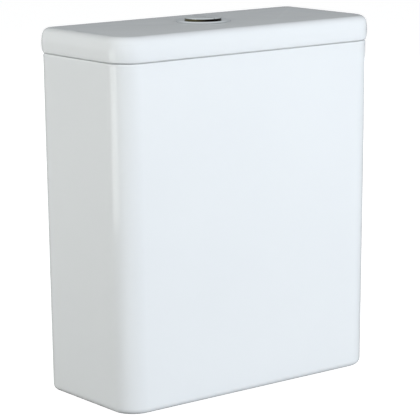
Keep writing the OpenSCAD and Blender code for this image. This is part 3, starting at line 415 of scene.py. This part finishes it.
def spring_mesh(name, x, y):
    """Tube whose middle line climbs a helix, and whose sections are circles in the upright plane."""
    t = np.linspace(0, 1, TURN_POINTS * TURNS + 1)[:, None]
    b = np.linspace(0, 2 * np.pi, WIRE_POINTS, endpoint=False)[None, :]
    a = 2 * np.pi * TURNS * t
    r = SPRING_R + WIRE_R * np.cos(b)
    z = SPRING_LOW + t * (SPRING_HIGH - SPRING_LOW) + WIRE_R * np.sin(b)
    return grid_mesh(name, np.stack([x + r * np.cos(a), y + r * np.sin(a), z], -1), True)


# Bezel: a dish with holes for the rods, a mouth for the buttons and a rounded rim on the lid
foot_z = BUTTON_TOP - BUTTON_H
catch_z, rim_z = foot_z + FOOT_H + CATCH_GAP, lid_top + BEZEL_H
bezel_profile = (
    [(AXIS_R, SHELF_TOP), (CATCH_R, SHELF_TOP), (CATCH_R, catch_z), (BARREL_IN, catch_z),
     (BARREL_IN, rim_z - MOUTH_EASE), (BARREL_IN + MOUTH_STEP, rim_z - MOUTH_STEP),
     (BARREL_IN + MOUTH_EASE, rim_z)]
    + [(BEZEL_R - BEZEL_H + BEZEL_H * math.sin(a), lid_top + BEZEL_H * math.cos(a)) for a in quarter]
    + [(BARREL_R, lid_top), (BARREL_R, SHELF_LOW), (AXIS_R, SHELF_LOW)])
rod_holes = [((side * ROD_X, -side * ROD_Y, SHELF_LOW), UPRIGHT, ROD_HOLE, ROD_DRILL) for side in (-1, 1)]
add_piece("chrome_bezel", drilled(lathe("chrome_bezel", bezel_profile), rod_holes), "lid", "button_bezel")

# The two buttons and the springs below them
# Button chrome with a painted dark reflection on its skirt
reflection_look = material("painted_reflection_chrome", button_chrome)
for half, side in (("full", 1), ("half", -1)):
    cap = half + "_button_cap"
    add_piece(cap, half_button(cap, side), half + "_button", half + "_flush_button", reflection_look)
for half, side in (("full", 1), ("half", -1)):
    x, y = side * ROD_X, -side * ROD_Y
    coil_name = half + "_spring_coil"
    coil = add_piece(coil_name, spring_mesh(coil_name, x, y), "lid", half + "_button_spring")
    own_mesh(coil)


def direction(azimuth, elevation):
    """Unit vector away from the object, by degrees to the right of its front and degrees up."""
    a, e = math.radians(azimuth), math.radians(elevation)
    return Vector((math.sin(a) * math.cos(e), -math.cos(a) * math.cos(e), math.sin(e)))


# Camera at the photograph's place: direction and roll in degrees, then aim and distance in metres
AZIMUTH, ELEVATION, ROLL = -37.93, 11.19, math.radians(-0.53)
AIM, DISTANCE = Vector((0.0070, -0.0005, 0.1949)), 2.3397
SENSOR, LENS = 36, 176.98
back, right = direction(AZIMUTH, ELEVATION), direction(AZIMUTH + 90, 0)
up = back.cross(right)
rolled_right = math.cos(ROLL) * right + math.sin(ROLL) * up
rolled_up = -math.sin(ROLL) * right + math.cos(ROLL) * up
turned = Matrix((rolled_right, rolled_up, back)).transposed().to_4x4()
camera = bpy.data.objects.new("camera", bpy.data.cameras.new("camera"))
camera.data.sensor_width, camera.data.lens = SENSOR, LENS
camera.matrix_world = Matrix.Translation(AIM + DISTANCE * back) @ turned
bpy.context.scene.collection.objects.link(camera)
bpy.context.scene.camera = camera


def by_ray(tree, seen, mirrored, plain):
    """Strength for rays from the camera, for rays off or through shiny surfaces, and for all others."""
    outputs = ("Is Camera Ray", "Is Glossy Ray", "Is Transmission Ray")
    camera_ray, glossy, clear = (Val(tree).node("ShaderNodeLightPath", out) for out in outputs)
    return plain + camera_ray * (seen - plain) + (glossy + clear) * (mirrored - plain)


# Floor that reads white to the camera and keeps the object's shadow
FLOOR_REACH, FLOOR_GREY, FLOOR_SEEN = 6, (0.35, 0.35, 0.35), 0.95


def pale_floor(place):
    """Matt grey that adds a glow for the camera alone."""
    return {
        "Base Color": FLOOR_GREY,
        "Roughness": 0.9,
        "Specular IOR Level": 0.0,
        "Emission Color": by_ray(place.tree, FLOOR_SEEN, 0.0, 0.0).over((1, 1, 1)),
        "Emission Strength": 1.0,
    }


floor_mesh = bpy.data.meshes.new("floor")
floor_corners = [(x * FLOOR_REACH, y * FLOOR_REACH, 0) for x, y in ((-1, -1), (1, -1), (1, 1), (-1, 1))]
floor_mesh.from_pydata(floor_corners, [], [(0, 1, 2, 3)])
floor_mesh.materials.append(material("pale_floor", pale_floor))
floor = bpy.data.objects.new("floor", floor_mesh)
bpy.context.scene.collection.objects.link(floor)

# World: white to the camera; shiny surfaces see a room that is paler behind the object and overhead
SKY, SKY_SEEN, SKY_PLAIN = (0.91, 0.96, 1), 1.15, 0.1
ROOM, BACKDROP, BACKDROP_SPAN = 0.37, 0.40, (-0.3, 0.5)
CEILING, CEILING_SPAN = 0.28, (0.25, 0.9)
world = bpy.data.worlds.new("studio")
bpy.context.scene.world = world
world.use_nodes = True
sky = world.node_tree.nodes["Background"].inputs
ray = Val(world.node_tree).node("ShaderNodeTexCoord", "Generated")
room = ray.along(1).smooth(*BACKDROP_SPAN, ROOM, BACKDROP) + CEILING * ray.along(2).smooth(*CEILING_SPAN)
ray.feed(sky["Color"], SKY)
ray.feed(sky["Strength"], by_ray(world.node_tree, SKY_SEEN, room, SKY_PLAIN))

# Lights: name, degrees right of the front, degrees up, distance, size, power, colour, reflection only
LIT_MIDDLE = Vector((0, 0, 0.2))
LIGHTS = (
    ("key", 14, 12, 3.0, 1.8, 95, (0.905, 0.955, 1.0), False),
    ("side", -101, 22, 2.4, 1.6, 40, (0.98, 1.0, 0.98), False),
    ("fill", 128, 4, 3.0, 2.2, 72, (0.98, 0.99, 1.0), False),
    ("corner_card", -94, 3, 0.75, 0.34, 0.65, (0.97, 1.0, 0.96), True),
)


def soft_light(name, azimuth, elevation, distance, size, power, colour, card):
    """Square area light on a sphere round the tank's middle, facing it; a card shows only as a reflection."""
    away = direction(azimuth, elevation)
    lamp = bpy.data.lights.new(name, "AREA")
    lamp.shape, lamp.size, lamp.energy, lamp.color = "SQUARE", size, power, colour
    thing = bpy.data.objects.new(name, lamp)
    thing.location = LIT_MIDDLE + distance * away
    thing.rotation_euler = away.to_track_quat("Z", "Y").to_euler()
    thing.visible_glossy, thing.visible_diffuse = card, not card
    bpy.context.scene.collection.objects.link(thing)


for light in LIGHTS:
    soft_light(*light)

bpy.context.scene.view_settings.view_transform = "Standard"
